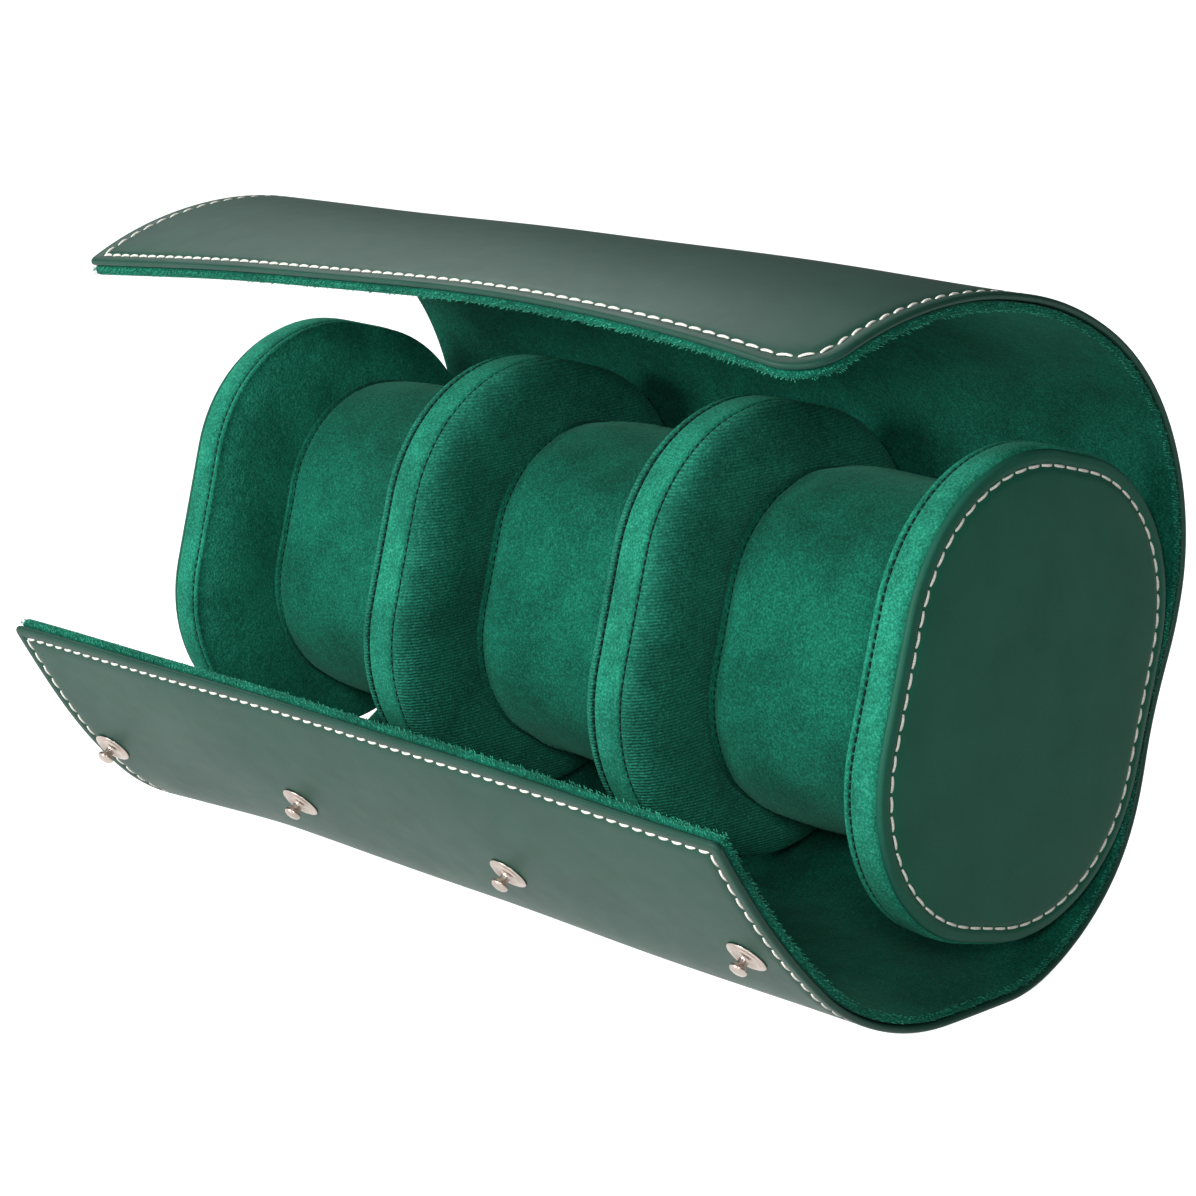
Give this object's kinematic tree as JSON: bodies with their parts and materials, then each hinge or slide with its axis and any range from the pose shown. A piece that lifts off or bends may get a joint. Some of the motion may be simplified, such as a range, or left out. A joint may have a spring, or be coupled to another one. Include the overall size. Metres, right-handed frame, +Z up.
{
  "type": "travel watch case",
  "caption": "Travel watch roll: padded bays with watch pillows between round-cornered discs, in a leather sheet with velvet lining that wraps round and snaps shut.",
  "frame": {"origin": "middle of the flat strip under the case that it rests on", "axes": "+X along the roll, towards the end shown nearest in the picture; the mouth opens towards -Y; +Z up"},
  "size_m": [0.195, 0.1224, 0.1277],
  "materials": {
    "smooth_leather": "satin",
    "stiffener_board": "matte",
    "velvet_lining": "matte",
    "velvet": "matte",
    "foam": "matte",
    "snap_metal": "satin",
    "stitching": "matte"
  },
  "bodies": {
    "roll": {"back_leather": "smooth_leather", "back_board": "stiffener_board", "back_lining": "velvet_lining", "near_cap_panel": "smooth_leather", "near_cap_board": "stiffener_board", "near_cap_foam": "foam", "near_cap_cover": "velvet", "far_cap_panel": "smooth_leather", "far_cap_board": "stiffener_board", "far_cap_foam": "foam", "far_cap_cover": "velvet", "divider_far_board": "stiffener_board", "divider_far_rim_band": "velvet", "divider_far_foam_far": "foam", "divider_far_face_far": "velvet", "divider_far_foam_near": "foam", "divider_far_face_near": "velvet", "divider_near_board": "stiffener_board", "divider_near_rim_band": "velvet", "divider_near_foam_far": "foam", "divider_near_face_far": "velvet", "divider_near_foam_near": "foam", "divider_near_face_near": "velvet"},
    "crown": {"crown_leather": "smooth_leather", "crown_board": "stiffener_board", "crown_lining": "velvet_lining"},
    "top_flap": {"top_flap_leather": "smooth_leather", "top_flap_board": "stiffener_board", "top_flap_lining": "velvet_lining", "snap_sockets": "snap_metal", "socket_backplates": "snap_metal"},
    "toe": {"toe_leather": "smooth_leather", "toe_board": "stiffener_board", "toe_lining": "velvet_lining"},
    "lower_flap": {"lower_flap_leather": "smooth_leather", "lower_flap_board": "stiffener_board", "lower_flap_lining": "velvet_lining", "snap_studs": "snap_metal", "stud_backplates": "snap_metal"},
    "pillow_far": {"pillow_far_core": "foam", "pillow_far_sleeve": "velvet", "pillow_far_ends": "velvet"},
    "pillow_middle": {"pillow_middle_core": "foam", "pillow_middle_sleeve": "velvet", "pillow_middle_ends": "velvet"},
    "pillow_near": {"pillow_near_core": "foam", "pillow_near_sleeve": "velvet", "pillow_near_ends": "velvet"}
  },
  "joints": [
    {"name": "crown_fold", "type": "hinge", "parent": "roll", "child": "crown", "pos_m": [0, 0.04824, 0.06512], "axis": [-1, 0, 0], "range_deg": [-14, 20]},
    {"name": "top_flap_fold", "type": "hinge", "parent": "crown", "child": "top_flap", "pos_m": [0, 0.00062, 0.12415], "axis": [-1, 0, 0], "range_deg": [-34, 50]},
    {"name": "toe_fold", "type": "hinge", "parent": "roll", "child": "toe", "pos_m": [0, -0.0134, 0.0021], "axis": [1, 0, 0], "range_deg": [-34, 6]},
    {"name": "lower_flap_fold", "type": "hinge", "parent": "toe", "child": "lower_flap", "pos_m": [0, -0.04601, 0.01671], "axis": [1, 0, 0], "range_deg": [0, 45]},
    {"name": "pillow_far_slide", "type": "slide", "parent": "roll", "child": "pillow_far", "axis": [0, -0.9336, 0.3584], "range_m": [0, 0.13]},
    {"name": "pillow_middle_slide", "type": "slide", "parent": "roll", "child": "pillow_middle", "axis": [0, -0.9336, 0.3584], "range_m": [0, 0.13]},
    {"name": "pillow_near_slide", "type": "slide", "parent": "roll", "child": "pillow_near", "axis": [0, -0.9336, 0.3584], "range_m": [0, 0.13]}
  ]
}
